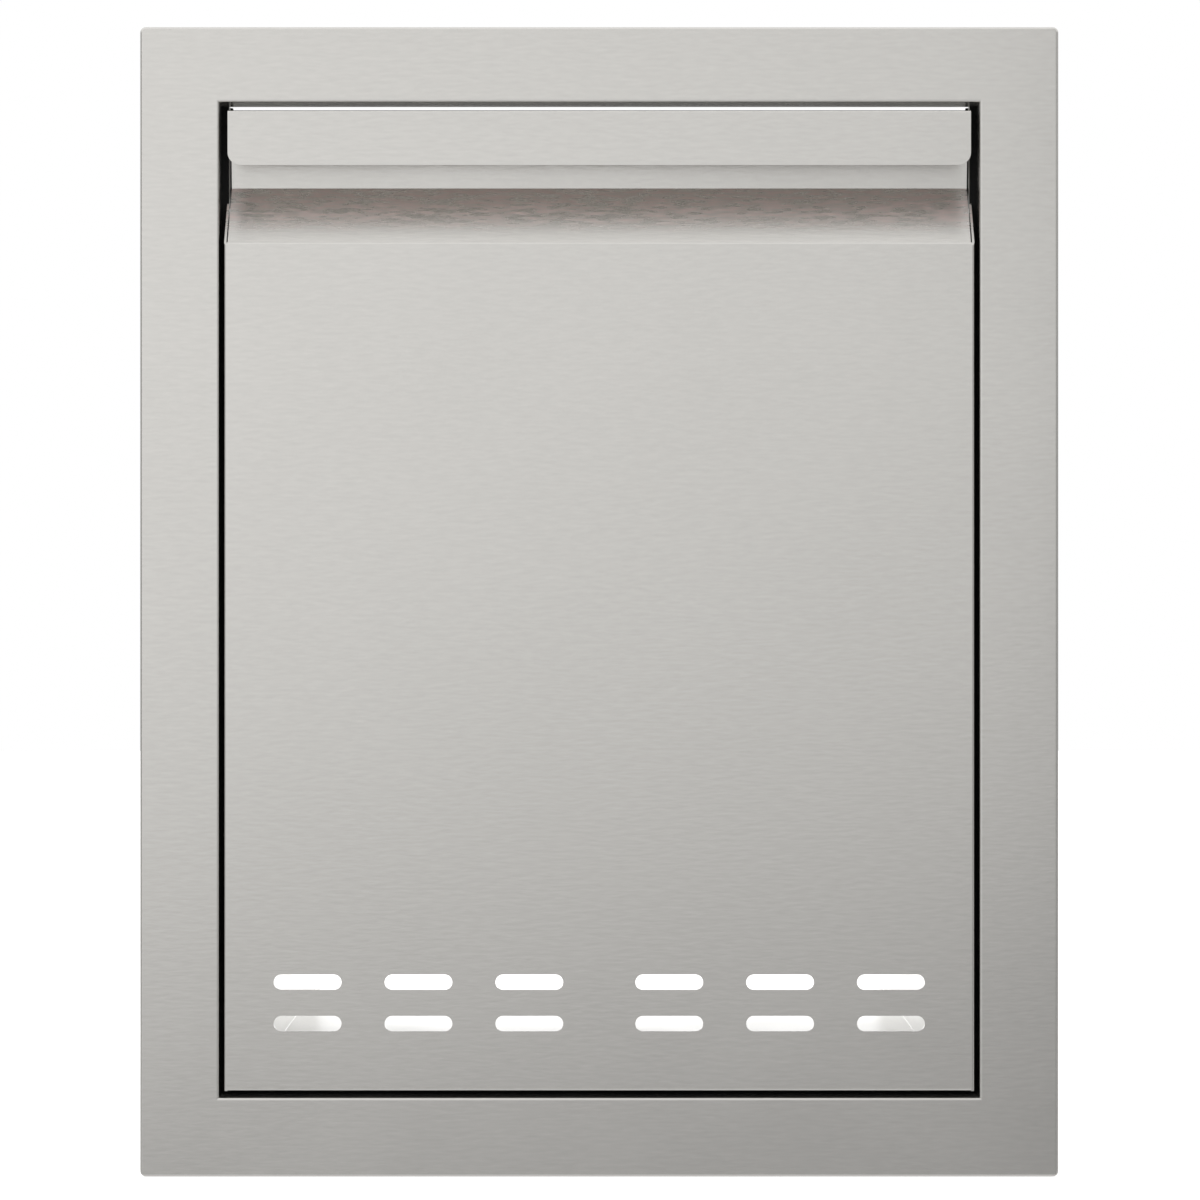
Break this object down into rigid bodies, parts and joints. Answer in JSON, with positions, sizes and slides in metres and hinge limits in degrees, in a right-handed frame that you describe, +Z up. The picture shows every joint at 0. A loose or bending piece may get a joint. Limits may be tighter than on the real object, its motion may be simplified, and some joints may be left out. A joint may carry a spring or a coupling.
{
  "type": "multifunction drawer",
  "caption": "Built-in stainless pull-out drawer with a face frame, a tall vented front, a folded finger pull and full-extension ball slides, for an outdoor kitchen.",
  "frame": {"origin": "centre of the face frame, in the plane of the island's face", "axes": "+X to the right seen from the front, +Y back into the island, +Z up; the drawer opens along -Y"},
  "size_m": [0.508, 0.538, 0.636],
  "materials": {
    "brushed_front": "stainless sheet with a fine level brushed grain",
    "stainless_inner": "plain mill-finish stainless sheet",
    "seal_rubber": "matt black foam rubber",
    "slide_zinc": "bright zinc-plated rolled steel",
    "retainer_steel": "pressed steel strip",
    "ball_steel": "polished ball steel",
    "black_plastic": "moulded black plastic",
    "fixings": "plain steel"
  },
  "bodies": {
    "cabinet": {"face_frame": "brushed_front", "closing_seal": "seal_rubber", "housing_floor": "stainless_inner", "rear_tie_bar": "stainless_inner", "cabinet_member_screws": "fixings", "left_housing_side": "stainless_inner", "right_housing_side": "stainless_inner", "left_cabinet_member": "slide_zinc", "right_cabinet_member": "slide_zinc", "left_slide_buffer": "black_plastic", "right_slide_buffer": "black_plastic"},
    "drawer": {"front_panel": "brushed_front", "front_liner": "stainless_inner", "drawer_tray": "stainless_inner", "rear_guard_rail": "stainless_inner", "lever_pivots": "fixings", "left_gusset": "stainless_inner", "right_gusset": "stainless_inner", "left_drawer_member": "slide_zinc", "right_drawer_member": "slide_zinc"},
    "left_middle": {"left_middle_member": "slide_zinc"},
    "left_outer_cage": {"left_outer_retainer": "retainer_steel", "left_outer_balls": "ball_steel"},
    "left_inner_cage": {"left_inner_retainer": "retainer_steel", "left_inner_balls": "ball_steel"},
    "left_lever": {"left_release_lever": "black_plastic"},
    "right_middle": {"right_middle_member": "slide_zinc"},
    "right_outer_cage": {"right_outer_retainer": "retainer_steel", "right_outer_balls": "ball_steel"},
    "right_inner_cage": {"right_inner_retainer": "retainer_steel", "right_inner_balls": "ball_steel"},
    "right_lever": {"right_release_lever": "black_plastic"}
  },
  "joints": [
    {"name": "drawer_slide", "type": "slide", "parent": "cabinet", "child": "drawer", "axis": [0, -1, 0], "range_m": [0, 0.5]},
    {"name": "left_middle_slide", "type": "slide", "parent": "cabinet", "child": "left_middle", "axis": [0, -1, 0], "range_m": [0, 0.25]},
    {"name": "left_outer_cage_slide", "type": "slide", "parent": "cabinet", "child": "left_outer_cage", "axis": [0, -1, 0], "range_m": [0, 0.125]},
    {"name": "left_inner_cage_slide", "type": "slide", "parent": "cabinet", "child": "left_inner_cage", "axis": [0, -1, 0], "range_m": [0, 0.375]},
    {"name": "left_lever_pivot", "type": "hinge", "parent": "drawer", "child": "left_lever", "pos_m": [-0.1967, 0.31, -0.228], "axis": [1, 0, 0], "range_deg": [-7, 7]},
    {"name": "right_middle_slide", "type": "slide", "parent": "cabinet", "child": "right_middle", "axis": [0, -1, 0], "range_m": [0, 0.25]},
    {"name": "right_outer_cage_slide", "type": "slide", "parent": "cabinet", "child": "right_outer_cage", "axis": [0, -1, 0], "range_m": [0, 0.125]},
    {"name": "right_inner_cage_slide", "type": "slide", "parent": "cabinet", "child": "right_inner_cage", "axis": [0, -1, 0], "range_m": [0, 0.375]},
    {"name": "right_lever_pivot", "type": "hinge", "parent": "drawer", "child": "right_lever", "pos_m": [0.1967, 0.31, -0.228], "axis": [1, 0, 0], "range_deg": [-7, 7]}
  ],
  "couplings": [
    {"joint": "left_middle_slide", "follows": "drawer_slide", "ratio": 0.5},
    {"joint": "left_outer_cage_slide", "follows": "drawer_slide", "ratio": 0.25},
    {"joint": "left_inner_cage_slide", "follows": "drawer_slide", "ratio": 0.75},
    {"joint": "right_middle_slide", "follows": "drawer_slide", "ratio": 0.5},
    {"joint": "right_outer_cage_slide", "follows": "drawer_slide", "ratio": 0.25},
    {"joint": "right_inner_cage_slide", "follows": "drawer_slide", "ratio": 0.75}
  ]
}
